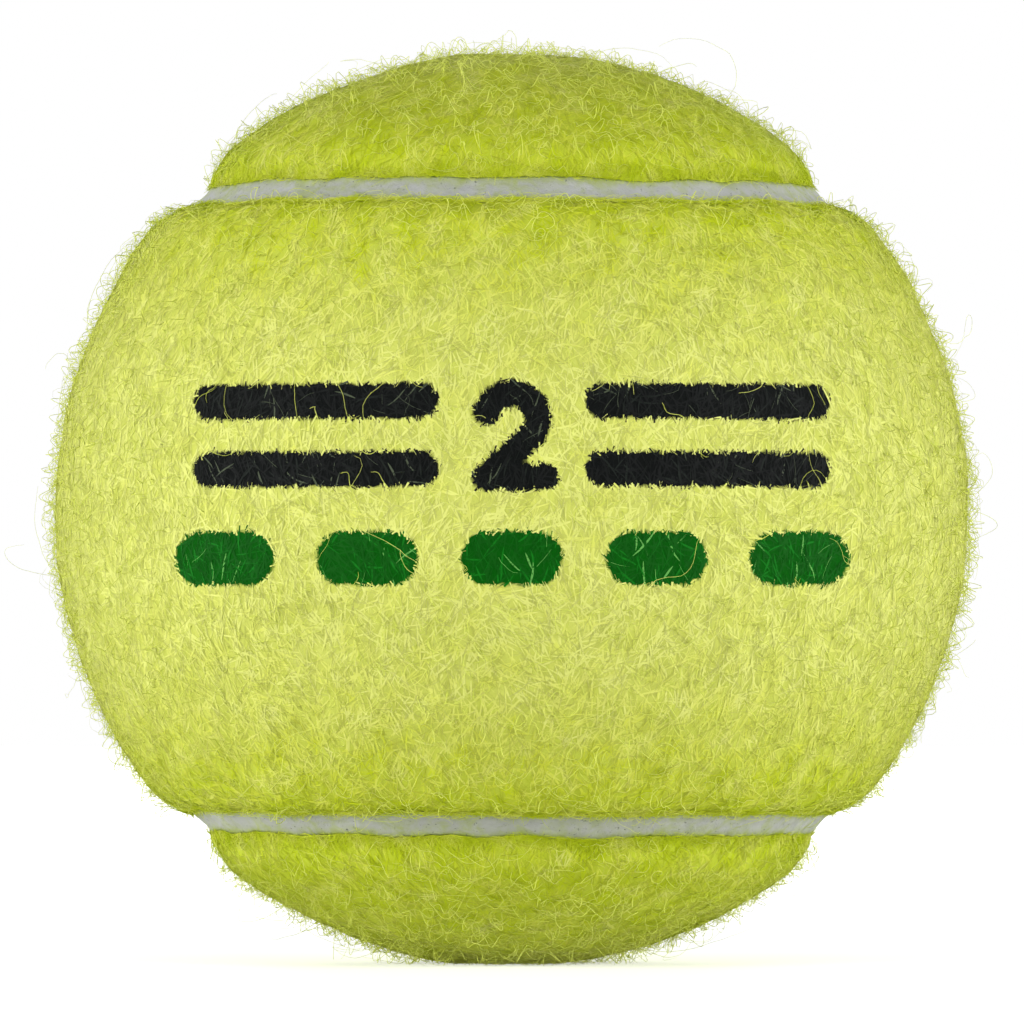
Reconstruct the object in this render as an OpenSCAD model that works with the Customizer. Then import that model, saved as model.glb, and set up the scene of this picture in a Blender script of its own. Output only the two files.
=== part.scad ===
// Pressurised tennis ball: a rubber core moulded in two halves, glued at the equator, coated with
// rubber cement and wrapped in two felt panels that meet along one continuous recessed seam.
// Millimetres. The origin is the ball's centre, +Z is up, and the waist of the front panel faces -Y.

/* [Ball] */
// Diameter over the felt
ball_d = 66.8; // [64:0.1:72]
// Depth of the flat where the ball's own weight presses the nap it stands on
rest_depth = 0.3; // [0.2:0.05:1]

/* [Felt cover] */
// Thickness of the felt cloth, woven base and raised nap together
felt_t = 3; // [2.4:0.1:4]
// Thickness of the cement film on the back of each felt panel
panel_cement_t = 0.2; // [0.1:0.05:0.5]
// Radius that the nap rounds off to along a panel's edge
edge_r = 4.8; // [2.5:0.1:8]

/* [Seam] */
// Width of the cement strip between the two felt panels
seam_w = 2.2; // [1:0.1:4]
// Depth of the strip's face below the felt
seam_recess = 1.25; // [0.6:0.05:2]

/* [Rubber core] */
// Wall thickness of the moulded rubber halves
core_wall = 3.4; // [2:0.1:6]
// Bevel ground on the outer edge of each half's rim
rim_bevel = 0.5; // [0.2:0.05:1.2]
// Thickness of the cement coat over the whole core
core_coat_t = 0.2; // [0.1:0.05:0.5]

/* [Core joint] */
// Thickness of the cement between the two rims
joint_t = 0.3; // [0.15:0.05:0.8]
// Radius of the bead of cement that the press squeezes out inside the core
bead_r = 0.8; // [0.5:0.05:1.6]

/* [Hidden] */
$fn = 180;

// Latitude of the seam. Only at 45 degrees do its four half circles meet end to end.
seam_lat = 45;
// Share by which a cutting outline reaches past the rounding that it trims
trim_share = 2;

// Radii of the layers, from the felt inwards
ball_r = ball_d / 2;
strip_r = ball_r - seam_recess;
weave_r = ball_r - felt_t;
coat_r = weave_r - panel_cement_t;
core_r = coat_r - core_coat_t;
bore_r = core_r - core_wall;

// Rounding of a panel's edge: its circle touches the ball's surface from inside and runs through
// the strip's edge. Both angles are seen from the centre, counted from the middle of the seam.
strip_edge_a = asin(seam_w / 2 / strip_r);
orbit_r = ball_r - edge_r;
round_a = strip_edge_a + acos((orbit_r ^ 2 + strip_r ^ 2 - edge_r ^ 2) / (2 * orbit_r * strip_r));

// Colours
felt_colour = [0.80, 0.86, 0.34];
strip_colour = [0.74, 0.76, 0.77];
film_colour = [0.86, 0.80, 0.62];
rubber_colour = [0.36, 0.35, 0.33];
joint_colour = [0.78, 0.72, 0.56];

function polar(angle, radius) = [radius * cos(angle), radius * sin(angle)];

// Section of a spherical shell
module shell_section(outer_r, inner_r) {
    difference() {
        circle(outer_r);
        circle(inner_r);
    }
}

// Section of a shell across one panel, with edges cut square beside the strip
module panel_section(outer_r, inner_r) {
    apex = seam_w / 2 / sin(seam_lat);
    intersection() {
        shell_section(outer_r, inner_r);
        polygon([[apex, 0], [apex + ball_r, ball_r], [apex + ball_r, -ball_r]]);
    }
}

// What the rounding takes off the upper edge of a panel
module edge_trim() {
    centre = polar(seam_lat - round_a, orbit_r);
    to_strip = trim_share * (polar(seam_lat - strip_edge_a, strip_r) - centre);
    to_surface = trim_share * polar(seam_lat - round_a, edge_r);
    difference() {
        polygon([centre, centre + to_strip, centre + to_strip + to_surface, centre + to_surface]);
        translate(centre) circle(edge_r);
    }
}

module felt_section() {
    difference() {
        panel_section(ball_r, weave_r);
        edge_trim();
        mirror([0, 1]) edge_trim();
    }
}

// Section of the strip on both sides of the waist
module strip_section() {
    intersection() {
        shell_section(strip_r, coat_r);
        for (side = [-1, 1])
            rotate(side * seam_lat)
                translate([0, -seam_w / 2])
                    square([ball_r, seam_w]);
    }
}

// The space under the surface that the ball stands on
module rest_plane() {
    side = 2 * ball_r;
    translate([-ball_r, -ball_r, rest_depth - ball_r - side]) cube(side);
}

// Wraps a section round the ball as a panel lies: the waist turns half way about Z in front,
// and a rounded end closes each side by turning half way about X behind. Both sections are the
// same in the plane y = 0, so the wrap runs on smoothly from one to the other.
module wrap() {
    rotate([0, 0, 180]) rotate_extrude(angle = 180) children();
    for (side = [0, 1])
        mirror([side, 0, 0])
            rotate([0, 90, 0])
                rotate_extrude(angle = 180)
                    intersection() {
                        rotate(90) children();
                        square(ball_r);
                    }
}

// Turns the front panel into the back one, a quarter turn away like the other half of the cover
module to_back() {
    rotate(a = 180, v = [1, 0, 1]) children();
}

// Section of the upper rubber half, from its rim on the joint to the pole
module half_section() {
    rim_z = joint_t / 2;
    difference() {
        intersection() {
            shell_section(core_r, bore_r);
            translate([0, rim_z]) square(core_r);
        }
        polygon([
            [core_r - rim_bevel, rim_z],
            [core_r + rim_bevel, rim_z],
            [core_r + rim_bevel, rim_z + 2 * rim_bevel]
        ]);
    }
}

// Section of the cement between the rims, in the bevels and in the bead inside
module joint_section() {
    difference() {
        union() {
            intersection() {
                shell_section(core_r, bore_r);
                translate([0, -joint_t / 2 - rim_bevel]) square([core_r, joint_t + 2 * rim_bevel]);
            }
            translate([bore_r, 0]) circle(bead_r);
        }
        half_section();
        mirror([0, 1]) half_section();
    }
}

module core_half_upper() {
    color(rubber_colour) rotate_extrude() half_section();
}

module core_half_lower() {
    color(rubber_colour) mirror([0, 0, 1]) rotate_extrude() half_section();
}

module core_joint_cement() {
    color(joint_colour) rotate_extrude() joint_section();
}

module core_cement_coat() {
    color(film_colour)
        rotate_extrude()
            intersection() {
                shell_section(coat_r, core_r);
                translate([0, -coat_r]) square([coat_r, 2 * coat_r]);
            }
}

module panel_cement_front() {
    color(film_colour) wrap() panel_section(weave_r, coat_r);
}

module panel_cement_back() {
    color(film_colour) to_back() wrap() panel_section(weave_r, coat_r);
}

module felt_panel_front() {
    color(felt_colour) wrap() felt_section();
}

module felt_panel_back() {
    color(felt_colour)
        difference() {
            to_back() wrap() felt_section();
            rest_plane();
        }
}

module seam_cement_strip() {
    color(strip_colour) wrap() strip_section();
}

core_half_upper();
core_half_lower();
core_joint_cement();
core_cement_coat();
panel_cement_front();
panel_cement_back();
felt_panel_front();
felt_panel_back();
seam_cement_strip();
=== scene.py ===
import math
from collections import namedtuple

import bpy
import numpy as np
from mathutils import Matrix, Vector

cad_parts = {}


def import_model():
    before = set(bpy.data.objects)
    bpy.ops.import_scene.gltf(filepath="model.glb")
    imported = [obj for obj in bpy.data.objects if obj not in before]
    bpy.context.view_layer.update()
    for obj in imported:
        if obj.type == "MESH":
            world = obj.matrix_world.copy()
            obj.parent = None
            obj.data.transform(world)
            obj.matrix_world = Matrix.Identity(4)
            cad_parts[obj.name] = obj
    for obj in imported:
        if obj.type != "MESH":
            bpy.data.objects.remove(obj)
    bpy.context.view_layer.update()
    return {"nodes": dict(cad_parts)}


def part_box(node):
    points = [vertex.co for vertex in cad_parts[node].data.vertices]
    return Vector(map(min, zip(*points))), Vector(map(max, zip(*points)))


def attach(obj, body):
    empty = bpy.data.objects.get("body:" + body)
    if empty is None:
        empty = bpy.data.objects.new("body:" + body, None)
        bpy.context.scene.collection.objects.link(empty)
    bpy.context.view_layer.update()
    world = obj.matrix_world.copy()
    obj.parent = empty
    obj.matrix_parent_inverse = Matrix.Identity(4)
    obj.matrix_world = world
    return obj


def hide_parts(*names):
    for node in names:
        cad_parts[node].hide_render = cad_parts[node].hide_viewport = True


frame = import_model()

# Sizes, in metres. The radii of the layers come from the frame.
MM = 0.001
BALL_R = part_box("felt_panel_front")[1].x
WEAVE_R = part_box("panel_cement_front")[1].x
COAT_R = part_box("core_cement_coat")[1].x
REST_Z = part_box("felt_panel_back")[0].z
SEAM_W = 2.2 * MM
SEAM_RECESS = 1.25 * MM
EDGE_R = 4.8 * MM
SEAM_LAT = math.pi / 4

# How far the felt's matted body lies below the smooth surface of its solid, and the share of that
# depth, and of its lumps, that it loses at the seam
NAP = 0.15 * MM
SEAM_CALM_SHARE = 0.6
# Spacing of the felt's grid, its rows of faces down a cut edge and those across its underside
CELL = 0.36 * MM
WALL_ROWS = 5
UNDER_ROWS = 24
# Clearance that keeps dressed layers apart
CLEAR = 0.02 * MM
# How far both edges of the felt have drawn back from the seam, and how far from it the felt still
# follows its cut edge
DRAWN_BACK = 0.12 * MM
EDGE_REACH = 2.5 * MM
# Spacing of the strip's grid along the seam, its points across, how hollow its face is, and half the
# width of its foot
STRIP_PITCH = 0.3 * MM
STRIP_POINTS = 15
STRIP_HOLLOW = 0.1 * MM
FOOT_HALF = 0.6 * MM

# Rounding of the felt along the seam, as angles from the middle of the seam
STRIP_R = BALL_R - SEAM_RECESS
ORBIT_R = BALL_R - EDGE_R
STRIP_EDGE_A = math.asin(SEAM_W / 2 / STRIP_R)
ROUND_A = STRIP_EDGE_A + math.acos(
    (ORBIT_R**2 + STRIP_R**2 - EDGE_R**2) / (2 * ORBIT_R * STRIP_R)
)

# Random fields over the ball: how high each one swells, how long its swells are, and its seed
Swell = namedtuple("Swell", "height length seed")
FRONT_WANDER = Swell(height=0.12 * MM, length=7 * MM, seed=11)
BACK_WANDER = Swell(height=0.12 * MM, length=7 * MM, seed=12)
SEAM_DRIFT = Swell(height=0.13 * MM, length=20 * MM, seed=13)
BODY_LUMPS = [
    Swell(height=0.06 * MM, length=9 * MM, seed=1),
    Swell(height=0.03 * MM, length=3.2 * MM, seed=2),
    Swell(height=0.015 * MM, length=1.4 * MM, seed=3),
]
STRIP_GRAIN = [
    Swell(height=0.03 * MM, length=2.4 * MM, seed=21),
    Swell(height=0.02 * MM, length=0.9 * MM, seed=22),
]
# The lie of the nap swings by radians, and the painted light and shade of its tufts swing by
# numbers of shades
NAP_SWING = Swell(height=0.3, length=9 * MM, seed=31)
PAINTED_TUFT_SHADE = [
    Swell(height=0.8, length=3.4 * MM, seed=32),
    Swell(height=0.6, length=1.6 * MM, seed=33),
]
# Each field is a sum of this many waves, whose rates lie between these shares of its own
WAVE_COUNT = 18
WAVE_SHARES = (0.6, 1.4)

# Most triangles in one piece of fibres, and sides of a fibre
MOST_FACES = 190_000
SIDES = 3
# Seeds of the fibres
STRAND_SEED = 40
MAT_SEED = 41
FUZZ_SEED = 42
WISP_SEED = 43
FRINGE_SEED = 44
WEB_SEED = 45
# Share of its curl that a fibre keeps from step to step, and how strongly it turns back at the seam
CURL_SHARE = 0.6
TURN_BACK = 1.2

# The print, across and up the front: a plain numeral between pairs of bars, over a row of dashes.
# Half widths of the strokes come first.
BAR = 1.25 * MM
STROKE = 0.95 * MM
DASH = 1.9 * MM
BAR_REACH = (6.4 * MM, 21.4 * MM)
BAR_Z = (7.4 * MM, 2.6 * MM)
# The numeral's bow has a middle, a radius, a sweep in degrees and a number of points. Its foot runs
# from left to right at one height.
BOW_X = 0
BOW_Z = 6.1 * MM
BOW_R = 1.85 * MM
BOW_SWEEP = (165, -38)
BOW_POINTS = 9
FOOT_LEFT = -1.85 * MM
FOOT_RIGHT = 2.35 * MM
FOOT_Z = 2 * MM
DASH_COUNT = 5
DASH_PITCH = 10.2 * MM
DASH_HALF = 1.7 * MM
DASH_Z = -3.7 * MM
# How ragged the print's edge is on the felt's body and from fibre to fibre, how far from it loose
# fibres start, and the distance that stands for no print near by
BODY_RAGGED = 0.7 * MM
FIBRE_RAGGED = 0.08 * MM
PRINT_MARGIN = 0.8 * MM
UNPRINTED = 9 * MM

# Lamps face the ball. Azimuth and elevation are in degrees. Azimuth 0 is in front, and it grows to
# the right.
Lamp = namedtuple("Lamp", "name azimuth elevation distance width height watts")
LAMPS = [
    Lamp("left_softbox", azimuth=-64, elevation=9, distance=0.8, width=0.9, height=0.25, watts=6.2),
    Lamp("right_softbox", azimuth=64, elevation=9, distance=0.8, width=0.9, height=0.25, watts=5.9),
    Lamp("front_softbox", azimuth=0, elevation=42, distance=1.2, width=1.0, height=0.3, watts=3.1),
    Lamp("rear_softbox", azimuth=180, elevation=16, distance=1.2, width=0.9, height=0.3, watts=4),
]
# How white the surround shines on the ball: in front of it, from the floor below it, and behind it,
# where the backdrop is
AMBIENT = 0.04
BOUNCE = 0.1
BACKDROP = 0.4
# Where the surround has turned into backdrop, as a share of the way round to the point straight
# behind, measured along Y
BACKDROP_SHARE = 0.5
# How white the camera sees an unlit patch of the floor, near the ball and far from it, and at what
# distances from the ball's middle that change begins and ends
FLOOR_NEAR = 0.52
FLOOR_FAR = 1.0
FLOOR_CHANGE = (2 * BALL_R, 8 * BALL_R)
FLOOR_W = 3.0
FLOOR_COLOUR = (0.8, 0.8, 0.8, 1)
WHITE = (1, 1, 1, 1)

# The camera's distance, its elevation in degrees, its sensor in millimetres and the nearest it sees
CAMERA_DISTANCE = 27 * BALL_R
CAMERA_ELEVATION = -0.5
SENSOR_W = 36
CLIP_START = 0.05
# The photograph's width, and in it the ball's radius and how far the ball's middle lies low, in pixels
FRAME_PX = 1024
BALL_PX = 457.7
DROP_PX = 4.0


def linear(*srgb):
    """A colour given as 0 to 255 sRGB numbers, in linear light with alpha."""
    parts = [c / 255 for c in srgb]
    return [c / 12.92 if c < 0.04045 else ((c + 0.055) / 1.055) ** 2.4 for c in parts] + [1.0]


# Shades of the felt's fibres, deepest first
SHADE_COLOURS = [
    linear(195, 210, 34),
    linear(202, 214, 52),
    linear(209, 218, 69),
    linear(215, 222, 87),
    linear(218, 224, 102),
    linear(221, 226, 113),
    linear(224, 229, 126),
]
# Painted shade on fibres that stand free of the mat: they keep this share of their shade's colour,
# so that, lit more fully than the shadowed mat, they look no brighter than it
FREE_PAINTED_SHADE_SHARE = 0.74
# Painted shade: which shade rules in the middle of each panel, how many shades deeper it gets at
# the seam, and how far in that reaches. It stands for light that falls off towards the ball's top
# and bottom, which is why the back panel is deeper all over.
PaintedPaleness = namedtuple("PaintedPaleness", "middle drop reach")
FRONT_PAINTED_PALE = PaintedPaleness(middle=5.9, drop=4.9, reach=9.5 * MM)
BACK_PAINTED_PALE = PaintedPaleness(middle=3.4, drop=2.2, reach=15 * MM)
# Painted tuft shade: how far it swings where the felt is deepest, and how much less for each paler
# shade
TUFT_SHADE_SWING = 1.35
TUFT_SHADE_LOSS = 0.15
# Fibres that stand clear of the felt
LOOSE_COLOURS = [linear(211, 221, 94), linear(217, 226, 104), linear(223, 231, 114)]
# Shares of printed fibres that took the ink fully, partly and barely, with their colours
INK_SHARES = [0.8, 0.16, 0.04]
DARK_INKS = [linear(9, 12, 11), linear(20, 25, 21), linear(72, 80, 62)]
GREEN_INKS = [linear(4, 84, 6), linear(10, 112, 18), linear(96, 168, 78)]
# Deepest and palest colours of the felt's body: painted shade between its clumps and painted light
# on them, each pair running deeper where the painted shade along the seam is strongest
SHADED_GAP_COLOURS = (linear(188, 204, 36), linear(202, 209, 96))
LIT_CLUMP_COLOURS = (linear(194, 209, 44), linear(211, 217, 110))
# The seam's cement, the lint in it and the painted shade of its pits
CEMENT_COLOURS = (linear(168, 170, 168), linear(180, 182, 180))
LINT_COLOUR = linear(158, 170, 88)
PIT_SHADE_COLOUR = linear(112, 116, 108)
# Darkest and lightest colours of what lies inside
RUBBER_COLOURS = (linear(92, 89, 84), linear(118, 114, 107))
JOINT_COLOURS = (linear(196, 184, 146), linear(212, 201, 166))
FILM_COLOURS = (linear(214, 200, 158), linear(228, 216, 180))
# Pebbles across one mottle of rubber or cement film
PEBBLES = 6


def unit(v):
    tiny = 1e-12
    return v / np.maximum(np.linalg.norm(v, axis=-1, keepdims=True), tiny)


def swells(points, *fields):
    """The sum of random fields at points. Each is smooth, and spreads by its height about 0."""
    total = np.zeros(points.shape[:-1])
    for field in fields:
        rng = np.random.default_rng(field.seed)
        ways = unit(rng.normal(size=(WAVE_COUNT, 3)))
        ways = ways * rng.uniform(*WAVE_SHARES, (WAVE_COUNT, 1)) * 2 * np.pi / field.length
        phases = rng.uniform(0, 2 * np.pi, WAVE_COUNT)
        waves = np.zeros(points.shape[:-1])
        for way, phase in zip(ways, phases):
            waves += np.sin(points @ way + phase)
        total += field.height * (waves * math.sqrt(2 / WAVE_COUNT))
    return total


# The print
def numeral():
    """A plain figure two: a bow over the top, a slant down to the left, and a straight foot."""
    angles = np.radians(np.linspace(*BOW_SWEEP, BOW_POINTS))
    x = BOW_X + BOW_R * np.cos(angles)
    z = BOW_Z + BOW_R * np.sin(angles)
    bends = [*zip(x, z), (FOOT_LEFT, FOOT_Z), (FOOT_RIGHT, FOOT_Z)]
    return [(*start, *end, STROKE) for start, end in zip(bends, bends[1:])]


def bars():
    near, far = BAR_REACH
    return [(side * near, z, side * far, z, BAR) for side in (-1, 1) for z in BAR_Z]


def dashes():
    middles = (np.arange(DASH_COUNT) - (DASH_COUNT - 1) / 2) * DASH_PITCH
    return [(x - DASH_HALF, DASH_Z, x + DASH_HALF, DASH_Z, DASH) for x in middles]


DARK_STROKES = numeral() + bars()
GREEN_STROKES = dashes()


def stroke_distance(points, strokes):
    """Signed distance to the nearest printed stroke, as seen from the front."""
    across, up = points[..., 0], points[..., 2]
    nearest = np.full(across.shape, UNPRINTED)
    for x0, z0, x1, z1, half in strokes:
        dx, dz = x1 - x0, z1 - z0
        along = np.clip(((across - x0) * dx + (up - z0) * dz) / (dx * dx + dz * dz), 0, 1)
        gap = np.hypot(across - x0 - along * dx, up - z0 - along * dz) - half
        nearest = np.minimum(nearest, gap)
    return np.where(points[..., 1] < 0, nearest, UNPRINTED)


# The seam and the felt's surface
def to_back(points):
    """Half a turn that lays the front panel where the back one is."""
    return points[..., [2, 1, 0]] * [1, -1, 1]


def seam_distance(d):
    """Arc from the middle of the seam to each direction, positive on the front panel."""
    ahead = SEAM_LAT - np.arcsin(np.clip(np.abs(d[..., 2]), 0, 1))
    behind = np.arcsin(np.clip(np.abs(d[..., 0]), 0, 1)) - SEAM_LAT
    return BALL_R * np.where(d[..., 1] < 0, ahead, behind)


def from_seam(d):
    """Unit tangent that leads from the seam into the front panel."""
    axis = np.zeros_like(d)
    ahead = d[..., 1] < 0
    axis[..., 2] = np.where(ahead, -np.sign(d[..., 2]), 0)
    axis[..., 0] = np.where(ahead, 0, np.sign(d[..., 0]))
    return unit(axis - d * (axis * d).sum(-1, keepdims=True))


def edge_shift(d, back):
    """How far the edge of a panel lies off its true line, towards the front panel. Each edge wanders
    by itself, and both follow the drift of the seam."""
    wander = swells(d * BALL_R, BACK_WANDER if back else FRONT_WANDER)
    drawn = -DRAWN_BACK if back else DRAWN_BACK
    return wander + drawn + swells(d * BALL_R, SEAM_DRIFT)


def edge_share(distance):
    """Share of the shift of its edge that the felt takes, at a distance from the middle of the seam."""
    return np.exp(-np.maximum(np.abs(distance) - SEAM_W / 2, 0) / EDGE_REACH)


def depth_in(d):
    """Arc from the middle of the seam into the panel that d lies on, as its wandering edge leaves it."""
    distance = seam_distance(d)
    shift = np.where(distance < 0, edge_shift(d, back=True), edge_shift(d, back=False))
    return np.sign(distance) * (distance - edge_share(distance) * shift)


def painted_paleness(d):
    """Number of the shade that the felt wears at each direction. It is painted shade, deeper along the
    seam and over the whole back panel, for light that falls off towards the ball's top and bottom."""
    distance = seam_distance(d)
    middle, drop, reach = np.moveaxis(np.where(distance[..., None] > 0, FRONT_PAINTED_PALE, BACK_PAINTED_PALE), -1, 0)
    return middle - drop * np.exp(-((distance / reach) ** 2))


def painted_tuft_shade(d):
    """How many shades paler or deeper the felt is at each direction: painted light on tufts of its nap
    and painted shade where it parts between them, in blotches that no relief follows. Where the felt
    is pale, they hardly swing."""
    return swells(d * BALL_R, *PAINTED_TUFT_SHADE) * (TUFT_SHADE_SWING - TUFT_SHADE_LOSS * painted_paleness(d))


def felt_radius(distance):
    """Radius of the felt's solid at an arc distance from the middle of the seam."""
    angle = np.clip(distance / BALL_R, STRIP_EDGE_A, ROUND_A)
    return ORBIT_R * np.cos(ROUND_A - angle) + np.sqrt(
        EDGE_R**2 - (ORBIT_R * np.sin(ROUND_A - angle)) ** 2
    )


def mat_rise(d):
    """Height of the matted body over the felt's solid: below it by the nap, less so by the seam."""
    lumps = swells(d * BALL_R, *BODY_LUMPS)
    return (lumps - NAP) * (1 - SEAM_CALM_SHARE * edge_share(seam_distance(d)))


def new_piece(name, places, faces, materials, wears=None, smooth=True):
    """A mesh from points and faces, riding on the ball. faces is a list of arrays of corners, and
    wears the material of each face."""
    mesh = bpy.data.meshes.new(name)
    loops = np.concatenate([f.ravel() for f in faces]).astype(np.int32)
    sizes = np.concatenate([np.full(len(f), f.shape[1]) for f in faces])
    starts = np.concatenate([[0], np.cumsum(sizes)[:-1]]).astype(np.int32)
    mesh.vertices.add(len(places))
    mesh.vertices.foreach_set("co", places.astype(np.float32).ravel())
    mesh.loops.add(len(loops))
    mesh.loops.foreach_set("vertex_index", loops)
    mesh.polygons.add(len(sizes))
    mesh.polygons.foreach_set("loop_start", starts)
    if wears is not None:
        mesh.polygons.foreach_set("material_index", wears.astype(np.int32))
    mesh.update(calc_edges=True)
    mesh.polygons.foreach_set("use_smooth", np.full(len(sizes), smooth))
    for material in materials:
        mesh.materials.append(material)
    mesh.validate()
    piece = bpy.data.objects.new(name, mesh)
    bpy.context.scene.collection.objects.link(piece)
    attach(piece, "root")
    return piece


def hold(piece, key, values):
    """Keeps a number for each point of a piece, for its material to read."""
    attribute = piece.data.attributes.new(key, "FLOAT", "POINT")
    attribute.data.foreach_set("value", values.astype(np.float32))


# Materials
def node_material(name, roughness, specular=0.5):
    material = bpy.data.materials.new(name)
    material.use_nodes = True
    tree = material.node_tree
    shader = tree.nodes["Principled BSDF"]
    shader.inputs["Roughness"].default_value = roughness
    shader.inputs["Specular IOR Level"].default_value = specular
    return material, tree, shader


def node(tree, kind, **values):
    made = tree.nodes.new(kind)
    for key, value in values.items():
        setattr(made, key, value)
    return made


def held(tree, key):
    """The number that a piece holds for this key."""
    return node(tree, "ShaderNodeAttribute", attribute_name=key).outputs["Fac"]


def math_node(tree, operation, first, second=0):
    made = node(tree, "ShaderNodeMath", operation=operation)
    for socket, value in zip(made.inputs, (first, second)):
        if isinstance(value, (int, float)):
            socket.default_value = value
        else:
            tree.links.new(value, socket)
    return made.outputs[0]


def noise(tree, size, detail, distortion=0.0, roughness=0.5, upright_share=1.0):
    """Noise over the object's own coordinates, with features about size across. An upright share
    below 1 draws them out along Z."""
    place = node(tree, "ShaderNodeTexCoord").outputs["Object"]
    if upright_share != 1:
        drawn = node(tree, "ShaderNodeMapping")
        drawn.inputs["Scale"].default_value = (1, 1, upright_share)
        tree.links.new(place, drawn.inputs["Vector"])
        place = drawn.outputs["Vector"]
    made = node(tree, "ShaderNodeTexNoise")
    made.inputs["Scale"].default_value = 1 / size
    made.inputs["Detail"].default_value = detail
    made.inputs["Distortion"].default_value = distortion
    made.inputs["Roughness"].default_value = roughness
    tree.links.new(place, made.inputs["Vector"])
    return made.outputs["Fac"]


def mix(tree, share, first, second):
    made = node(tree, "ShaderNodeMix", data_type="RGBA")
    tree.links.new(share, made.inputs["Factor"])
    for socket, colour in ((made.inputs["A"], first), (made.inputs["B"], second)):
        if isinstance(colour, list):
            socket.default_value = colour
        else:
            tree.links.new(colour, socket)
    return made.outputs["Result"]


def spread(tree, value, low, high):
    """value taken from low..high to 0..1."""
    made = node(tree, "ShaderNodeMapRange")
    made.inputs["From Min"].default_value = low
    made.inputs["From Max"].default_value = high
    tree.links.new(value, made.inputs["Value"])
    return made.outputs["Result"]


def bump(tree, shader, height, strength, depth):
    made = node(tree, "ShaderNodeBump")
    made.inputs["Strength"].default_value = strength
    made.inputs["Distance"].default_value = depth
    tree.links.new(height, made.inputs["Height"])
    tree.links.new(made.outputs["Normal"], shader.inputs["Normal"])


def hairlines(tree, size, width):
    """1 on thin curling lines, 0 between them: where a twisted noise passes its middle value."""
    middle = 0.5
    off = math_node(tree, "SUBTRACT", noise(tree, size, detail=4, distortion=1.6), middle)
    return spread(tree, math_node(tree, "ABSOLUTE", off), low=width, high=0)


def printed_on(tree, colour, key, ink):
    """The colour with ink over it, inside a ragged edge round the strokes."""
    ragged = math_node(tree, "MULTIPLY", noise(tree, size=0.6 * MM, detail=3), BODY_RAGGED)
    shift = math_node(tree, "SUBTRACT", ragged, BODY_RAGGED / 2)
    edge = math_node(tree, "ADD", held(tree, key), shift)
    return mix(tree, spread(tree, edge, low=0.14 * MM, high=-0.1 * MM), colour, ink)


def felt_material(inked):
    """Matted felt: painted shade between upright clumps and painted light on them, though they have no
    relief, deeper all over where the painted shade along the seam and on the back panel falls, with
    curling hairs raised on it and the print soaked in."""
    name = "felt_front" if inked else "felt_back"
    material, tree, shader = node_material(name, roughness=0.7, specular=0.05)
    clumps = noise(tree, size=1.3 * MM, detail=4, distortion=0.8, roughness=0.6, upright_share=0.5)
    # Painted shade along the seam and on the back panel, as a share from deepest to palest
    pale = held(tree, "painted_paleness")
    shaded_gaps = mix(tree, pale, *SHADED_GAP_COLOURS)
    lit_tops = mix(tree, pale, *LIT_CLUMP_COLOURS)
    # Painted light on the clumps and painted shade between them
    colour = mix(tree, spread(tree, clumps, low=0.36, high=0.66), shaded_gaps, lit_tops)
    if inked:
        colour = printed_on(tree, colour, "ink_dark", DARK_INKS[0])
        colour = printed_on(tree, colour, "ink_green", GREEN_INKS[0])
    tree.links.new(colour, shader.inputs["Base Color"])
    coarse = hairlines(tree, size=1.1 * MM, width=0.03)
    fine = hairlines(tree, size=0.7 * MM, width=0.04)
    hairs = math_node(tree, "MAXIMUM", coarse, fine)
    height = math_node(tree, "ADD", hairs, noise(tree, size=0.5 * MM, detail=4, distortion=0.6))
    bump(tree, shader, height, strength=0.3, depth=0.08 * MM)
    return material


def fibre_materials(kind, colours, share=1.0):
    """Dyed fibres. Neighbouring fibres wear different shades, so each material needs only its own. A
    share below 1 darkens every colour, as painted shade.
    """
    made = []
    for number, colour in enumerate(colours, 1):
        material, _, shader = node_material(f"{kind}_{number}", roughness=0.65, specular=0.1)
        shader.inputs["Base Color"].default_value = [c * share for c in colour[:3]] + [1]
        made.append(material)
    return made


def cement_material():
    """Seam cement: chalky pale rubber with painted shade in small pits that have no relief, an uneven
    tone, and lint caught in it, most of all along its edges."""
    material, tree, shader = node_material("seam_cement", roughness=0.85, specular=0.3)
    cloud = spread(tree, noise(tree, size=3 * MM, detail=4), low=0.3, high=0.7)
    body = mix(tree, cloud, *CEMENT_COLOURS)
    lint_share = 0.6
    lint = spread(tree, noise(tree, size=1.1 * MM, detail=4, distortion=0.5), low=0.42, high=0.7)
    lint = math_node(tree, "MULTIPLY", lint, lint_share)
    lint = math_node(tree, "ADD", lint, held(tree, "edge"))
    body = mix(tree, spread(tree, lint, low=0, high=1), body, LINT_COLOUR)
    # Painted shade of small pits, as dark specks with no relief
    pit_shade = spread(tree, noise(tree, size=0.3 * MM, detail=3, roughness=0.7), low=0.62, high=0.7)
    tree.links.new(mix(tree, pit_shade, body, PIT_SHADE_COLOUR), shader.inputs["Base Color"])
    grain = noise(tree, size=0.35 * MM, detail=5, distortion=0.3, roughness=0.65)
    bump(tree, shader, grain, strength=0.7, depth=0.1 * MM)
    return material


def rubber_material(name, colours, mottle, roughness):
    """Moulded rubber or cured cement film, mottled at one scale and pebbled at a finer one."""
    material, tree, shader = node_material(name, roughness)
    share = spread(tree, noise(tree, mottle, detail=5), low=0.3, high=0.7)
    tree.links.new(mix(tree, share, *colours), shader.inputs["Base Color"])
    bump(tree, shader, noise(tree, mottle / PEBBLES, detail=4), strength=0.5, depth=0.08 * MM)
    return material


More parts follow.
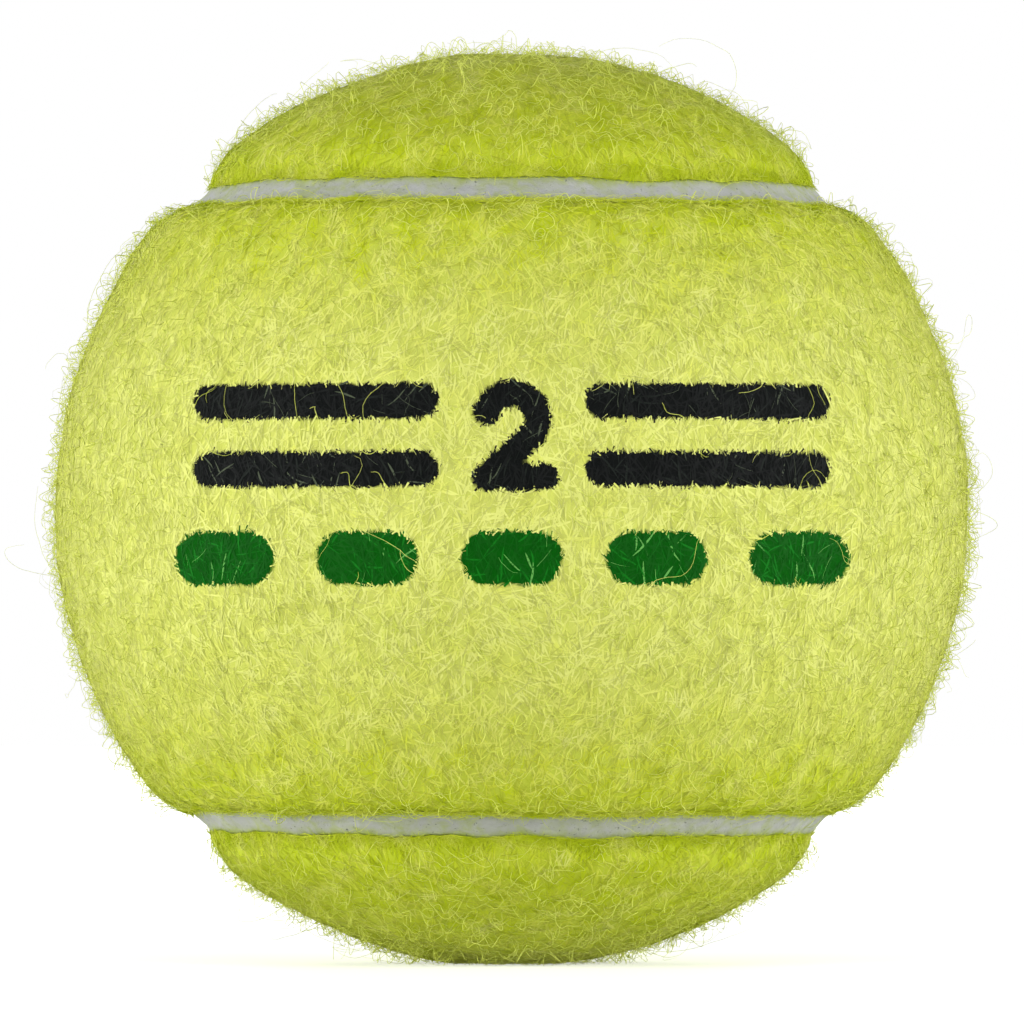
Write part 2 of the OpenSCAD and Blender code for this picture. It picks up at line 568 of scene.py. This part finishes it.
# The matted body of the felt
def grid_part(points, closed, flip=False):
    """Points and outward quads of a swept grid. Rows run along the sweep, columns round the section."""
    rows, columns = points.shape[:2]
    index = np.arange(rows * columns).reshape(rows, columns)
    after = np.roll(index, -1, axis=1)
    wide = columns if closed else columns - 1
    quads = np.stack([index[:-1, :wide], index[1:, :wide], after[1:, :wide], after[:-1, :wide]], -1)
    quads = quads.reshape(-1, 4)
    return points.reshape(-1, 3), quads[:, ::-1] if flip else quads


def join(parts):
    """Welds grids that share an edge, and drops the faces that close up at a pole."""
    places = np.concatenate([p for p, _ in parts])
    starts = np.cumsum([0] + [len(p) for p, _ in parts[:-1]])
    quads = np.concatenate([q + s for (_, q), s in zip(parts, starts)])
    rounded = np.round(places / (CLEAR / 2))
    _, kept, same = np.unique(rounded, axis=0, return_index=True, return_inverse=True)
    quads = same.ravel()[quads]
    shut = [quads[:, i] == quads[:, (i + 1) % 4] for i in range(4)]
    faces = [quads[~np.any(shut, axis=0)]]
    for i in range(4):
        others = [(i + 1) % 4, (i + 2) % 4, (i + 3) % 4]
        only = shut[i] & ~np.any([shut[k] for k in others], axis=0)
        faces.append(quads[only][:, others])
    return places[kept], [f for f in faces if len(f)]


def felt_grid():
    """The front panel as a closed skin of points and faces. Its section runs over the top from seam
    to seam, down the cut edge, back underneath and up the other edge."""
    half = SEAM_LAT - STRIP_EDGE_A
    top = np.linspace(-half, half, 2 * round(half * BALL_R / CELL) + 1)
    wall = np.linspace(STRIP_R, WEAVE_R + CLEAR, WALL_ROWS + 1)[1:-1]
    wall_a = SEAM_LAT - np.arcsin(SEAM_W / 2 / wall)
    under = np.linspace(half, -half, UNDER_ROWS + 1)
    angles = np.concatenate([top, wall_a, under, -wall_a[::-1]])
    radii = np.concatenate([
        felt_radius((SEAM_LAT - np.abs(top)) * BALL_R),
        wall,
        np.full(len(under), WEAVE_R + CLEAR),
        wall[::-1],
    ])

    turns = 2 * round(math.pi / 2 * BALL_R / CELL)
    lon, lat = np.meshgrid(np.linspace(math.pi, 2 * math.pi, turns + 1), angles, indexing="ij")
    waist = np.stack([np.cos(lon) * np.cos(lat), np.sin(lon) * np.cos(lat), np.sin(lat)], -1)
    waist = waist * radii[:, None]

    first = len(top) // 2
    last = len(top) + len(wall) + len(under) // 2
    lap = 2 * round(math.pi / 2 * BALL_R * math.sin(SEAM_LAT) / CELL)
    turn, tilt = np.meshgrid(np.linspace(0, math.pi, lap + 1), angles[first:last + 1], indexing="ij")
    end = np.stack([np.cos(tilt), np.sin(tilt) * np.sin(turn), np.sin(tilt) * np.cos(turn)], -1)
    end = end * radii[first:last + 1, None]
    return join([
        grid_part(waist, closed=True),
        grid_part(end, closed=False),
        grid_part(end * [-1, 1, 1], closed=False, flip=True),
    ])


def felt_panel(name, places, faces, material, back=False):
    """The matted body of one panel, with its wandering cut edge and lumpy top."""
    if back:
        places = to_back(places)
    d = unit(places)
    depth = np.clip((np.linalg.norm(places, axis=1) - WEAVE_R) / (STRIP_R - WEAVE_R), 0, 1)
    shift = edge_share(seam_distance(d)) * edge_shift(d, back)
    places = places + from_seam(d) * shift[:, None]
    places = places + d * (depth * mat_rise(d))[:, None]
    places[:, 2] = np.maximum(places[:, 2], REST_Z + NAP / 2)
    piece = new_piece(name, places, faces, [material])
    # Painted shade along the seam and on the back panel, for the body's colour
    hold(piece, "painted_paleness", painted_paleness(d) / (len(SHADE_COLOURS) - 1))
    if not back:
        hold(piece, "ink_dark", stroke_distance(places, DARK_STROKES))
        hold(piece, "ink_green", stroke_distance(places, GREEN_STROKES))
    return piece


# The strip of cement in the seam
def seam_ring(count):
    """Directions along the middle of the seam, and the tangent into the front panel at each."""
    quarter = count // 4
    sweep = (np.arange(quarter) + 0.5) / quarter * math.pi
    arc = np.stack([np.cos(sweep), np.sin(sweep)]) * math.cos(SEAM_LAT)
    level = np.full(quarter, math.sin(SEAM_LAT))
    upper = np.stack([arc[0], -arc[1], level], -1)
    left = np.stack([-level, arc[1], arc[0]], -1)
    ring = np.concatenate([upper, left, upper[::-1] * [1, 1, -1], left[::-1] * [-1, 1, 1]])
    return ring, from_seam(ring)


def seam_strip(material):
    """One closed strip between the panels, with a faintly hollow, lumpy face. It follows the edges of
    both panels, and narrows below their cement films to a foot on the core's coat."""
    ring, side = seam_ring(4 * round(math.pi * STRIP_R * math.cos(SEAM_LAT) / STRIP_PITCH))
    edge = SEAM_W / 2 - CLEAR
    share = np.linspace(0, 1, STRIP_POINTS)
    low = edge_shift(unit(ring * BALL_R - side * edge), back=True) - edge
    high = edge_shift(unit(ring * BALL_R + side * edge), back=False) + edge
    across = low[:, None] * (1 - share) + high[:, None] * share
    face = unit(ring[:, None] * STRIP_R + side[:, None] * across[..., None])
    hollow = STRIP_HOLLOW * (1 - (2 * share - 1) ** 2)
    face = face * (STRIP_R + swells(face * STRIP_R, *STRIP_GRAIN) - hollow)[..., None]

    ledge = WEAVE_R + CLEAR
    sole = COAT_R + CLEAR
    under = [
        (high, ledge),
        (FOOT_HALF, ledge),
        (FOOT_HALF, sole),
        (-FOOT_HALF, sole),
        (-FOOT_HALF, ledge),
        (low, ledge),
    ]
    feet = [
        unit(ring * STRIP_R + side * np.reshape(shift, (-1, 1))) * radius for shift, radius in under
    ]
    section = np.concatenate([face, np.stack(feet, axis=1)], axis=1)
    whole = np.concatenate([section, section[:1]])
    _, quads = grid_part(whole, closed=True)
    places = section.reshape(-1, 3)
    quads = quads[:, ::-1] % len(places)
    piece = new_piece("seam_cement_visible", places, [quads], [material])
    nearness = np.concatenate([np.abs(2 * share - 1) ** 3, np.ones(len(feet))])
    hold(piece, "edge", np.tile(nearness, len(section)))
    return piece


# Fibres
def tubes(paths, widths, height_share):
    """Closed three-sided tubes along paths, one side up and as tall as a share of their width:
    points, quads and end triangles, fibre by fibre."""
    count, rings = paths.shape[:2]
    along = unit(np.gradient(paths, axis=1))
    side = unit(np.cross(along, unit(paths)))
    lift = np.cross(side, along) * height_share
    turn = np.arange(SIDES) * 2 * math.pi / SIDES - math.pi / 2
    around = np.cos(turn)[:, None] * side[:, :, None] + np.sin(turn)[:, None] * lift[:, :, None]
    places = paths[:, :, None] + around * (widths / 2)[:, :, None, None]
    index = np.arange(count * rings * SIDES).reshape(count, rings, SIDES)
    after = np.roll(index, -1, axis=2)
    quads = np.stack([index[:, :-1], after[:, :-1], after[:, 1:], index[:, 1:]], -1).reshape(-1, 4)
    ends = np.concatenate([index[:, 0, ::-1], index[:, -1]])
    return places.reshape(-1, 3), quads, ends


def fibre_pieces(name, paths, widths, wears, materials, height_share=1.0):
    """Makes fibres into pieces of at most MOST_FACES triangles. wears holds a material per segment.
    Flattened fibres keep flat faces, so that they lie in the felt's own light."""
    segments = paths.shape[1] - 1
    each = MOST_FACES // (2 * SIDES * segments + 2)
    for n, start in enumerate(range(0, len(paths), each), 1):
        part = slice(start, start + each)
        places, quads, ends = tubes(paths[part], widths[part], height_share)
        places[:, 2] = np.maximum(places[:, 2], REST_Z)
        worn = wears[part]
        by_face = np.concatenate([np.repeat(worn.ravel(), SIDES), worn[:, 0], worn[:, -1]])
        title = f"{name}_{n:02d}"
        new_piece(title, places, [quads, ends], materials, by_face, smooth=height_share == 1)


def scattered(rng, count, margin):
    """Evenly spread directions, a little shaken, at least a margin from the true edges of the felt."""
    turn = np.arange(count)
    rise = 1 - (2 * turn + 1) / count
    angle = turn * math.pi * (3 - math.sqrt(5))
    flat = np.sqrt(1 - rise**2)
    d = np.stack([flat * np.cos(angle), flat * np.sin(angle), rise], -1)
    d = unit(d + rng.normal(0, 1 / math.sqrt(count), d.shape))
    return rng.permutation(d[np.abs(seam_distance(d)) > SEAM_W / 2 + margin])


def off_print(d):
    """Those directions that lie clear of the print, whose pad presses loose fibres into the ink."""
    return d[stroke_distance(d * BALL_R, DARK_STROKES + GREEN_STROKES) > PRINT_MARGIN]


def compass(d, angle):
    """Unit tangents at d, at an angle from the way up."""
    up = np.array([0.0, 0.0, 1.0])
    north = unit(up - d * d[:, 2:])
    return north * np.cos(angle)[:, None] + np.cross(north, d) * np.sin(angle)[:, None]


def lay(rng, d, heading, steps, length, bend, overhang, kept_share=CURL_SHARE):
    """Walks fibres over the ball from d, each with a curl of its own, of which it keeps a share from
    step to step. A fibre that would reach over the seam by more than its overhang turns to run along
    it."""
    count = len(d)
    curl = rng.normal(0, bend, count)
    step = length / (steps - 1)
    side = np.sign(seam_distance(d))
    limit = SEAM_W / 2 - overhang
    path = [d]
    for _ in range(steps - 1):
        curl = kept_share * curl + rng.normal(0, math.sqrt(1 - kept_share**2) * bend, count)
        a = (curl * step)[:, None]
        heading = heading * np.cos(a) + np.cross(d, heading) * np.sin(a)
        ahead = unit(d + heading * (step / BALL_R)[:, None])
        over = depth_in(ahead) * side * np.sign(seam_distance(ahead)) < limit
        away = from_seam(d) * side[:, None]
        toward = np.minimum((heading * away).sum(1), 0)
        turned = unit(heading - TURN_BACK * away * toward[:, None])
        heading = np.where(over[:, None], turned, heading)
        d = unit(d + heading * (step / BALL_R)[:, None])
        heading = unit(heading - d * (heading * d).sum(1)[:, None])
        path.append(d)
    return np.stack(path, axis=1)


def loose_paths(rng, d, steps, lengths, bend, kept_share=CURL_SHARE):
    """Fibres that set out from d every which way, and how far along them their points lie."""
    count = len(d)
    length = rng.uniform(*lengths, count)
    heading = compass(d, rng.uniform(0, 2 * np.pi, count))
    path = lay(rng, d, heading, steps, length, bend, np.zeros(count), kept_share)
    return path, np.linspace(0, 1, steps)


def raised(path, height):
    """Points at a height over the felt's matted body."""
    base = felt_radius(depth_in(path)) + mat_rise(path)
    return path * (base + height)[..., None]


def shade_of(rng, tone, paths):
    """A material for each segment: the felt's shade there, shifted by the fibre's own tone, or ink
    where it is printed."""
    middles = (paths[:, :-1] + paths[:, 1:]) / 2
    d = unit(middles)
    # Painted shade along the seam and on the back panel, and painted light and shade of tufts
    shades = np.rint(painted_paleness(d) + painted_tuft_shade(d) + tone[:, None])
    shades = np.clip(shades, 0, len(SHADE_COLOURS) - 1).astype(int)
    jitter = rng.normal(0, FIBRE_RAGGED, (len(paths), 1))
    tint = rng.choice(len(INK_SHARES), (len(paths), 1), p=INK_SHARES)
    for n, strokes in enumerate((DARK_STROKES, GREEN_STROKES)):
        ink = len(SHADE_COLOURS) + n * len(INK_SHARES) + tint
        shades = np.where(stroke_distance(middles, strokes) + jitter < 0, ink, shades)
    return shades


def loose_shade(rng, paths):
    """One of the loose fibres' colours for all segments of each fibre."""
    count, points = paths.shape[:2]
    return np.tile(rng.integers(0, len(LOOSE_COLOURS), (count, 1)), points - 1)


def tapered(rng, widths, count, t, tip_share):
    """Widths along fibres, drawn in to a share at the tip, where t is 1."""
    return rng.uniform(*widths, (count, 1)) * (1 - (1 - tip_share) * t**2)


def matted(rng, strands, each, steps, heights):
    """Points and tones of fibres that lie along the felt, most of them more upright than level, a few
    to a strand, and how far along them their points lie. heights holds the least and greatest height
    of a strand over the body."""
    strand_tilt = 0.65
    fibre_tilt = 0.12
    strand_width = 0.06 * MM
    lengths = (1.1 * MM, 2.6 * MM)
    length_shares = (0.7, 1.2)
    overhang = 0.15 * MM
    bend = 0.25 / MM
    fewest_waves = 0.4
    more_waves = 0.6
    wave_height = 0.015 * MM
    unevenness = 0.01 * MM
    strand_tone = 0.25
    fibre_tone = 0.3

    centres = scattered(rng, strands, margin=0.1 * MM)
    strands = len(centres)
    count = strands * each
    swirl = swells(centres * BALL_R, NAP_SWING) + rng.normal(0, strand_tilt, strands)
    swirl = swirl + math.pi * rng.integers(0, 2, strands)
    d = np.repeat(centres, each, axis=0)
    d = unit(d * BALL_R + rng.normal(0, strand_width, d.shape))
    angle = np.repeat(swirl, each) + rng.normal(0, fibre_tilt, count)
    length = np.repeat(rng.uniform(*lengths, strands), each) * rng.uniform(*length_shares, count)
    over = np.abs(rng.normal(0, overhang, count))
    path = lay(rng, d, compass(d, angle), steps, length, bend, over)
    t = np.linspace(0, 1, steps)
    turn = np.repeat(rng.random((strands, 2)), each, axis=0)
    wave = np.sin(2 * np.pi * (t * (fewest_waves + more_waves * turn[:, :1]) + turn[:, 1:]))
    lift = np.repeat(rng.uniform(*heights, (strands, 1)), each, axis=0)
    points = raised(path, lift + rng.normal(0, unevenness, (count, 1)) + wave_height * wave)
    tone = strand_tone * np.repeat(rng.normal(size=strands), each)
    tone = tone + fibre_tone * rng.normal(size=count)
    return points, tone, t


def mat_strands(materials):
    """Flat soft strands that cover the felt's body."""
    rng = np.random.default_rng(STRAND_SEED)
    points, tone, t = matted(rng, strands=66_000, each=1, steps=5, heights=(0.01 * MM, 0.03 * MM))
    both_ends = 2 * t - 1
    widths = tapered(rng, (0.1 * MM, 0.2 * MM), len(points), both_ends, tip_share=0.2)
    wears = shade_of(rng, tone, points)
    fibre_pieces("felt_strands", points, widths, wears, materials, height_share=0.12)


def mat_fibres(materials):
    """Fine fibres over the strands, that make up the nap."""
    rng = np.random.default_rng(MAT_SEED)
    points, tone, t = matted(rng, strands=16_000, each=2, steps=5, heights=(0.03 * MM, 0.05 * MM))
    widths = tapered(rng, (0.034 * MM, 0.05 * MM), len(points), t, tip_share=0.4)
    wears = shade_of(rng, tone, points)
    fibre_pieces("felt_mat", points, widths, wears, materials, height_share=0.35)


def fuzz_fibres(materials):
    """Short curly free ends that stand up out of the mat and lean over."""
    least_rise = 0.15 * MM
    arch_shares = (0.35, 0.9)
    tone_spread = 0.8

    rng = np.random.default_rng(FUZZ_SEED)
    starts = scattered(rng, 13_000, margin=0.3 * MM)
    path, t = loose_paths(rng, starts, steps=6, lengths=(0.7 * MM, 2.2 * MM), bend=1.1 / MM)
    count = len(path)
    tall = least_rise + rng.gamma(shape=1.2, scale=0.22 * MM, size=(count, 1))
    arch = np.sin(t * rng.uniform(*arch_shares, (count, 1)) * np.pi)
    points = raised(path, tall * arch)
    widths = tapered(rng, (0.026 * MM, 0.04 * MM), count, t, tip_share=0.5)
    wears = shade_of(rng, rng.normal(0, tone_spread, count), points)
    fibre_pieces("felt_fuzz", points, widths, wears, materials, height_share=0.5)


def web_fibres(materials):
    """Loose fibres that curl tightly a little clear of the felt, and dip towards it now and then."""
    least_rise = 0.35 * MM
    most_more = 1.2 * MM
    dip_share = 0.35
    dips = (0.8, 2.2)

    rng = np.random.default_rng(WEB_SEED)
    starts = off_print(scattered(rng, 8_600, margin=0.5 * MM))
    lengths = (1.8 * MM, 4 * MM)
    path, t = loose_paths(rng, starts, steps=14, lengths=lengths, bend=1.7 / MM, kept_share=0.93)
    count = len(path)
    turns = rng.uniform(*dips, (count, 1)) * t + rng.random((count, 1))
    more = rng.gamma(shape=2, scale=0.28 * MM, size=(count, 1))
    tall = least_rise + np.minimum(more, most_more)
    dip = 1 - dip_share + dip_share * np.sin(2 * np.pi * turns)
    points = raised(path, tall * np.sin(np.pi * t) * dip)
    widths = tapered(rng, (0.04 * MM, 0.06 * MM), count, t, tip_share=0.6)
    fibre_pieces("felt_web", points, widths, loose_shade(rng, points), materials)


def fringe_fibres(materials):
    """Short fibres that hang over the cut edges of both panels, and partly across the strip."""
    ring_count = 4_000
    steps = 5
    root_reach = 0.9 * MM
    root_shake = 0.15 * MM
    slant_spread = 0.8
    lengths = (0.8 * MM, 1.9 * MM)
    clear = 0.15 * MM
    strip_lift = 0.1 * MM
    arch = 0.12 * MM
    tone_spread = 1

    rng = np.random.default_rng(FRINGE_SEED)
    ring, side = seam_ring(ring_count)
    ring = np.concatenate([ring, ring, ring, ring])
    side = np.concatenate([side, -side, side, -side])
    count = len(ring)
    away = rng.uniform(0, root_reach, (count, 1)) + SEAM_W / 2
    d = unit(ring * BALL_R + side * away + rng.normal(0, root_shake, ring.shape))
    slant = rng.normal(0, slant_spread, (count, 1))
    heading = -side * np.cos(slant) + np.cross(d, side) * np.sin(slant)
    heading = unit(heading - d * (heading * d).sum(1, keepdims=True))
    length = rng.uniform(*lengths, count)
    overhang = rng.gamma(shape=1.3, scale=0.17 * MM, size=count)
    path = lay(rng, d, heading, steps, length, bend=0.6 / MM, overhang=overhang)
    t = np.linspace(0, 1, steps)
    over_strip = np.clip(1 - depth_in(path) / (SEAM_W / 2), 0, 1)
    stand = clear + strip_lift * over_strip + arch * np.sin(np.pi * t) * rng.random((count, 1))
    points = raised(path, stand)
    widths = tapered(rng, (0.03 * MM, 0.044 * MM), count, t, tip_share=0.5)
    wears = shade_of(rng, rng.normal(0, tone_spread, count), points)
    fibre_pieces("felt_fringe", points, widths, wears, materials, height_share=0.5)


def wisps(materials):
    """Long loose fibres that curl well clear of the ball."""
    arch_shares = (0.4, 1.0)
    curl_share = 0.25
    curl_turn = 5
    curl_start = 6
    lowest = -0.1 * MM

    rng = np.random.default_rng(WISP_SEED)
    starts = off_print(scattered(rng, 820, margin=0.8 * MM))
    path, t = loose_paths(rng, starts, steps=20, lengths=(3 * MM, 12 * MM), bend=0.6 / MM)
    count = len(path)
    tall = rng.gamma(shape=1.6, scale=0.7 * MM, size=(count, 1))
    arch = np.sin(np.pi * t * rng.uniform(*arch_shares, (count, 1)))
    curl = curl_share * t * np.sin(curl_turn * t + curl_start * rng.random((count, 1)))
    points = raised(path, np.maximum(tall * (arch + curl), lowest))
    widths = tapered(rng, (0.028 * MM, 0.042 * MM), count, t, tip_share=0.5)
    fibre_pieces("felt_wisps", points, widths, loose_shade(rng, points), materials)


# Stage, lights and camera
def shown_and_cast(tree, shown, cast, output):
    """Rays from the camera, by way of gloss or glass too, meet the first shader, and others the
    second."""
    pick = node(tree, "ShaderNodeMixShader")
    rays = node(tree, "ShaderNodeLightPath").outputs
    seen = math_node(tree, "MAXIMUM", rays["Is Camera Ray"], rays["Is Glossy Ray"])
    seen = math_node(tree, "MAXIMUM", seen, rays["Is Transmission Ray"])
    tree.links.new(seen, pick.inputs[0])
    tree.links.new(cast, pick.inputs[1])
    tree.links.new(shown, pick.inputs[2])
    tree.links.new(pick.outputs[0], output)


def glowing(tree, shader, strength):
    """A shader that also glows white by itself."""
    glow = node(tree, "ShaderNodeEmission")
    tree.links.new(strength, glow.inputs["Strength"])
    both = node(tree, "ShaderNodeAddShader")
    tree.links.new(shader.outputs[0], both.inputs[0])
    tree.links.new(glow.outputs[0], both.inputs[1])
    return both.outputs[0]


def surround_glow(tree, place, reach, ahead):
    """How white the surround shines of itself: from ahead in front to BACKDROP at reach behind."""
    parts = node(tree, "ShaderNodeSeparateXYZ")
    tree.links.new(node(tree, "ShaderNodeTexCoord").outputs[place], parts.inputs[0])
    behind = spread(tree, parts.outputs["Y"], 0, reach)
    more = math_node(tree, "MULTIPLY", behind, BACKDROP - ahead)
    return math_node(tree, "ADD", more, ahead)


def floor():
    """White paper. To the camera it also glows, more so far off, where the lamps don't reach it. On
    the ball it shines a little."""
    material, tree, shader = node_material("floor", roughness=0.9)
    shader.inputs["Base Color"].default_value = FLOOR_COLOUR
    away = node(tree, "ShaderNodeVectorMath", operation="LENGTH")
    tree.links.new(node(tree, "ShaderNodeTexCoord").outputs["Object"], away.inputs[0])
    far = spread(tree, away.outputs["Value"], *FLOOR_CHANGE)
    more = math_node(tree, "MULTIPLY", far, FLOOR_FAR - FLOOR_NEAR)
    shown = glowing(tree, shader, math_node(tree, "ADD", more, FLOOR_NEAR))
    cast = glowing(tree, shader, surround_glow(tree, "Object", BALL_R, BOUNCE))
    shown_and_cast(tree, shown, cast, tree.nodes["Material Output"].inputs["Surface"])
    half = FLOOR_W / 2
    corners = [(-half, -half), (half, -half), (half, half), (-half, half)]
    mesh = bpy.data.meshes.new("floor")
    mesh.from_pydata([(x, y, REST_Z) for x, y in corners], [], [(0, 1, 2, 3)])
    mesh.materials.append(material)
    made = bpy.data.objects.new("floor", mesh)
    bpy.context.scene.collection.objects.link(made)


def world():
    """A plain surround that the camera sees as white. It shines softly on the ball's rim."""
    made = bpy.data.worlds.new("studio")
    bpy.context.scene.world = made
    made.use_nodes = True
    tree = made.node_tree
    shown = tree.nodes["Background"]
    cast = node(tree, "ShaderNodeBackground")
    for shader in (shown, cast):
        shader.inputs["Color"].default_value = WHITE
    glow = surround_glow(tree, "Generated", BACKDROP_SHARE, AMBIENT)
    tree.links.new(glow, cast.inputs["Strength"])
    output = tree.nodes["World Output"].inputs["Surface"]
    shown_and_cast(tree, shown.outputs[0], cast.outputs[0], output)


def soft_light(lamp):
    """A rectangular lamp that faces the ball."""
    light = bpy.data.lights.new(lamp.name, "AREA")
    light.shape = "RECTANGLE"
    light.size = lamp.width
    light.size_y = lamp.height
    light.energy = lamp.watts
    made = bpy.data.objects.new(lamp.name, light)
    a = math.radians(lamp.azimuth)
    e = math.radians(lamp.elevation)
    way = Vector((math.sin(a) * math.cos(e), -math.cos(a) * math.cos(e), math.sin(e)))
    made.location = lamp.distance * way
    made.rotation_euler = (-way).to_track_quat("-Z", "Y").to_euler()
    bpy.context.scene.collection.objects.link(made)


def camera():
    """A long lens straight in front, a touch below the ball's middle, framed as the photograph is."""
    data = bpy.data.cameras.new("camera")
    data.sensor_fit = "HORIZONTAL"
    data.sensor_width = SENSOR_W
    focal_px = BALL_PX * math.sqrt(CAMERA_DISTANCE**2 - BALL_R**2) / BALL_R
    data.lens = data.sensor_width * focal_px / FRAME_PX
    data.clip_start = CLIP_START
    made = bpy.data.objects.new("camera", data)
    target = Vector((0, 0, DROP_PX * BALL_R / BALL_PX))
    low = math.radians(CAMERA_ELEVATION)
    made.location = CAMERA_DISTANCE * Vector((0, -math.cos(low), math.sin(low)))
    made.rotation_euler = (target - made.location).to_track_quat("-Z", "Y").to_euler()
    bpy.context.scene.collection.objects.link(made)
    bpy.context.scene.camera = made


def dress_core():
    """Gives the rubber core and the cement films inside their materials."""
    rubber = rubber_material("core_rubber", RUBBER_COLOURS, mottle=4 * MM, roughness=0.7)
    joint = rubber_material("joint_cement", JOINT_COLOURS, mottle=1.5 * MM, roughness=0.55)
    film = rubber_material("rubber_cement", FILM_COLOURS, mottle=6 * MM, roughness=0.45)
    wears = {
        "core_half_upper": rubber,
        "core_half_lower": rubber,
        "core_joint_cement": joint,
        "core_cement_coat": film,
        "panel_cement_front": film,
        "panel_cement_back": film,
    }
    for name, material in wears.items():
        data = frame["nodes"][name].data
        data.materials.clear()
        data.materials.append(material)


camera()
world()
floor()
for lamp in LAMPS:
    soft_light(lamp)
bpy.context.scene.view_settings.view_transform = "Standard"

skin, skin_faces = felt_grid()
front = felt_panel("felt_body_front", skin, skin_faces, felt_material(inked=True))
rear = felt_panel("felt_body_back", skin, skin_faces, felt_material(inked=False), back=True)
strip = seam_strip(cement_material())
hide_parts("felt_panel_front")
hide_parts("felt_panel_back")
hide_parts("seam_cement_strip")

dyed = fibre_materials("mat_shade", SHADE_COLOURS)
# Painted shade: darkened copies of the shades for free-standing fibres, so they look no brighter than
# the mat
free = fibre_materials("free_painted_shade", SHADE_COLOURS, FREE_PAINTED_SHADE_SHARE)
printed = fibre_materials("fibre_ink", DARK_INKS + GREEN_INKS)
loose = fibre_materials("loose_fibre", LOOSE_COLOURS)
mat_strands(dyed + printed)
mat_fibres(free + printed)
fuzz_fibres(free + printed)
fringe_fibres(dyed + printed)
web_fibres(loose)
wisps(loose)
dress_core()
